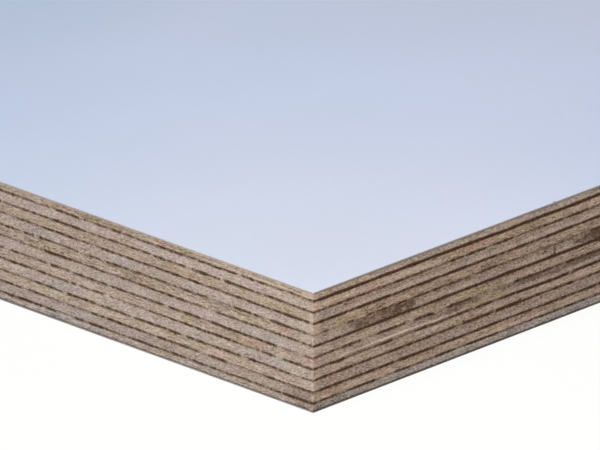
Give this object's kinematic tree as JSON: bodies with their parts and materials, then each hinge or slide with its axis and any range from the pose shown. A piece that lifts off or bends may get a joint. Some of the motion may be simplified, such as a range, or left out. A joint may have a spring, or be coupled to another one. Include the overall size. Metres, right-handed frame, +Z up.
{
  "type": "plywood sheet",
  "caption": "Film-faced birch plywood sheet with a smooth pale finish face, cross-laminated veneers and bare sawn edges with dark glue lines.",
  "frame": {"origin": "middle of the underside, on the level surface that the sheet lies on", "axes": "+X along the sheet's length and the face grain, +Y along its width, +Z up out of the finish face"},
  "size_m": [2.5, 1.25, 0.015],
  "materials": {
    "face_film": "satin",
    "long_veneer": "matte",
    "cross_veneer": "matte",
    "back_film": "satin"
  },
  "bodies": {
    "root": {"face_film": "face_film", "face_veneer": "long_veneer", "crossband_2": "cross_veneer", "long_band_3": "long_veneer", "crossband_4": "cross_veneer", "long_band_5": "long_veneer", "crossband_6": "cross_veneer", "long_band_7": "long_veneer", "crossband_8": "cross_veneer", "long_band_9": "long_veneer", "crossband_10": "cross_veneer", "back_veneer": "long_veneer", "back_film": "back_film"}
  },
  "joints": []
}
